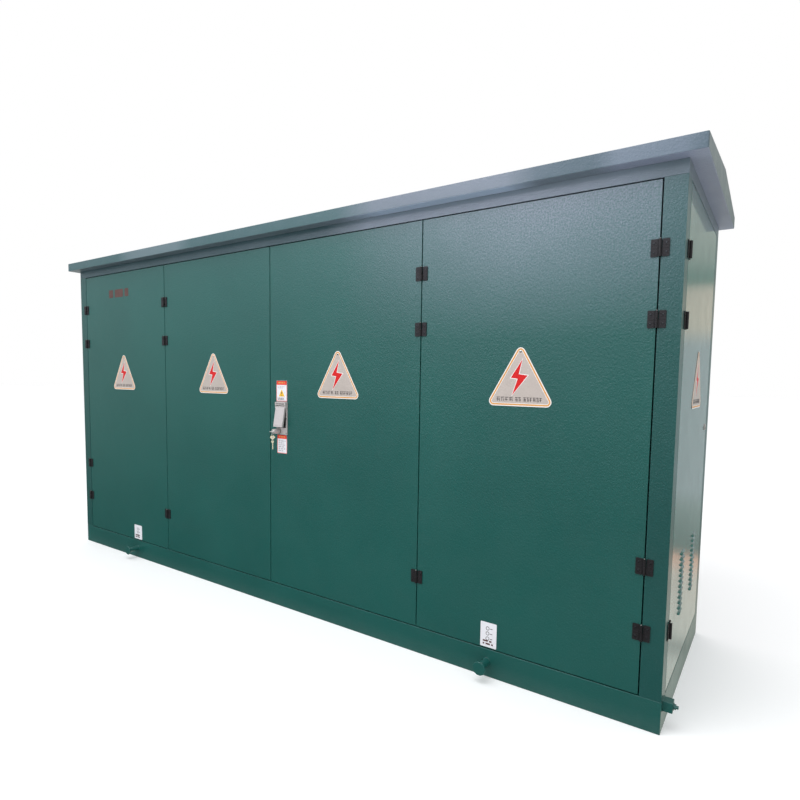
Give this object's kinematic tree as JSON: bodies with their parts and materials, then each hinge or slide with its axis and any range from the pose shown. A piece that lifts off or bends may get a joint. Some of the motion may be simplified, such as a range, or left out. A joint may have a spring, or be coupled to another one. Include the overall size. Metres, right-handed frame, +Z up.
{
  "type": "pad-mounted transformer",
  "caption": "Walk-up steel kiosk for a pad-mounted transformer: folding front doors, vented end doors and a low gable roof over switchgear, oil transformer and low-voltage board.",
  "frame": {"origin": "centre of the base's underside, on the pad", "axes": "+X along the length towards the vented low-voltage end, -Y out of the four-leaf front, +Z up"},
  "size_m": [4.12, 1.15, 2.1028],
  "materials": {
    "green_coat": "semi-gloss textured powder coat, dark teal green",
    "seal_rubber": "matt black EPDM",
    "hinge_black": "black coated zinc hinge",
    "plate_alloy": null,
    "satin_steel": "satin stainless lock parts",
    "key_metal": "nickel-brass key and plug",
    "galvanised": "galvanised sheet",
    "equipment_grey": "light grey paint",
    "core_winding": "varnished core and windings",
    "porcelain": "brown glazed insulator",
    "epoxy": "cast resin insulator",
    "cable_sheath": "screened cable sheath",
    "copper": "bare copper bar",
    "moulding": "dark breaker moulding",
    "control_black": "black handle plastic"
  },
  "bodies": {
    "frame": {"base_frame": "green_coat", "top_frame": "green_coat", "post_front_left": "green_coat", "post_front_right": "green_coat", "post_rear_left": "green_coat", "post_rear_right": "green_coat", "rear_wall": "green_coat", "roof": "green_coat", "door_seal_front": "seal_rubber", "door_seal_left": "seal_rubber", "door_seal_right": "seal_rubber", "floor_hv": "galvanised", "floor_lv": "galvanised", "partition_hv": "galvanised", "partition_lv": "galvanised", "hinge_pins_post_left": "hinge_black", "hinge_pins_post_right": "hinge_black", "hinge_pins_left_end": "hinge_black", "hinge_pins_right_end": "hinge_black", "transformer_tank": "equipment_grey", "tank_lid": "equipment_grey", "core_and_coils": "core_winding", "hv_bushings": "porcelain", "lv_bushings": "epoxy", "hv_cables": "cable_sheath", "lv_busbars": "copper", "hv_switchgear": "equipment_grey", "lv_board": "equipment_grey", "main_breaker": "moulding", "feeder_breakers": "moulding"},
    "door_1": {"door_1": "green_coat", "hinge_sleeves_door_1": "hinge_black", "hinge_pins_door_1": "hinge_black", "warning_plate_1": "plate_alloy"},
    "door_2": {"door_2": "green_coat", "hinge_sleeves_door_2": "hinge_black", "warning_plate_2": "plate_alloy"},
    "door_3": {"door_3": "green_coat", "hinge_sleeves_door_3": "hinge_black", "warning_plate_3": "plate_alloy", "lock_plate": "satin_steel"},
    "door_4": {"door_4": "green_coat", "hinge_sleeves_door_4": "hinge_black", "hinge_pins_door_4": "hinge_black", "warning_plate_4": "plate_alloy"},
    "door_left": {"door_left": "green_coat", "hinge_sleeves_door_left": "hinge_black", "warning_plate_left": "plate_alloy"},
    "door_right": {"door_right": "green_coat", "hinge_sleeves_door_right": "hinge_black", "warning_plate_right": "plate_alloy"},
    "lock_cover": {"lock_cover": "satin_steel"},
    "lock_key": {"lock_key": "key_metal"},
    "lock_rod_upper": {"lock_rod_upper": "satin_steel"},
    "lock_rod_lower": {"lock_rod_lower": "satin_steel"},
    "end_lock_left": {"end_lock_left": "satin_steel"},
    "end_lock_right": {"end_lock_right": "satin_steel"},
    "hv_switch_handle": {"hv_switch_handle": "control_black"},
    "breaker_toggle": {"breaker_toggle": "control_black"},
    "tap_changer_knob": {"tap_changer_knob": "control_black"}
  },
  "joints": [
    {"name": "door_1_swing", "type": "hinge", "parent": "frame", "child": "door_1", "pos_m": [-1.9225, -0.5065, 1], "axis": [0, 0, -1], "range_deg": [0, 90]},
    {"name": "door_2_fold", "type": "hinge", "parent": "door_1", "child": "door_2", "pos_m": [-0.96125, -0.5065, 1], "axis": [0, 0, -1], "range_deg": [0, 165]},
    {"name": "door_4_swing", "type": "hinge", "parent": "frame", "child": "door_4", "pos_m": [1.9225, -0.5065, 1], "axis": [0, 0, 1], "range_deg": [0, 90]},
    {"name": "door_3_fold", "type": "hinge", "parent": "door_4", "child": "door_3", "pos_m": [0.96125, -0.5065, 1], "axis": [0, 0, 1], "range_deg": [0, 165]},
    {"name": "door_left_swing", "type": "hinge", "parent": "frame", "child": "door_left", "pos_m": [-2.0065, -0.4225, 1], "axis": [0, 0, 1], "range_deg": [0, 90]},
    {"name": "door_right_swing", "type": "hinge", "parent": "frame", "child": "door_right", "pos_m": [2.0065, -0.4225, 1], "axis": [0, 0, -1], "range_deg": [0, 90]},
    {"name": "lock_cover_lift", "type": "hinge", "parent": "door_3", "child": "lock_cover", "pos_m": [0.09325, -0.5113, 1.0955], "axis": [-1, 0, 0], "range_deg": [-10, 80]},
    {"name": "lock_key_turn", "type": "hinge", "parent": "door_3", "child": "lock_key", "pos_m": [0.07, -0.5, 0.965], "axis": [0, -1, 0], "range_deg": [0, 90]},
    {"name": "lock_rod_upper_throw", "type": "slide", "parent": "door_3", "child": "lock_rod_upper", "axis": [0, 0, 1], "range_m": [0, 0.02]},
    {"name": "lock_rod_lower_throw", "type": "slide", "parent": "door_3", "child": "lock_rod_lower", "axis": [0, 0, -1], "range_m": [0, 0.02]},
    {"name": "end_lock_left_turn", "type": "hinge", "parent": "door_left", "child": "end_lock_left", "pos_m": [-2, 0.3675, 1.05], "axis": [1, 0, 0], "range_deg": [0, 90]},
    {"name": "end_lock_right_turn", "type": "hinge", "parent": "door_right", "child": "end_lock_right", "pos_m": [2, 0.3675, 1.05], "axis": [1, 0, 0], "range_deg": [0, 90]},
    {"name": "hv_switch_turn", "type": "hinge", "parent": "frame", "child": "hv_switch_handle", "pos_m": [-1.35, -0.3, 0.95], "axis": [0, 1, 0], "range_deg": [0, 90]},
    {"name": "breaker_toggle_throw", "type": "hinge", "parent": "frame", "child": "breaker_toggle", "pos_m": [1.2, -0.108, 1.25], "axis": [1, 0, 0], "range_deg": [-25, 25]},
    {"name": "tap_changer_turn", "type": "hinge", "parent": "frame", "child": "tap_changer_knob", "pos_m": [0.02, -0.14, 1.08], "axis": [0, 0, 1], "range_deg": [0, 144]}
  ],
  "couplings": [
    {"joint": "lock_key_turn", "follows": "lock_rod_upper_throw", "rad_per_m": 78.54},
    {"joint": "lock_rod_lower_throw", "follows": "lock_rod_upper_throw", "ratio": 1}
  ]
}
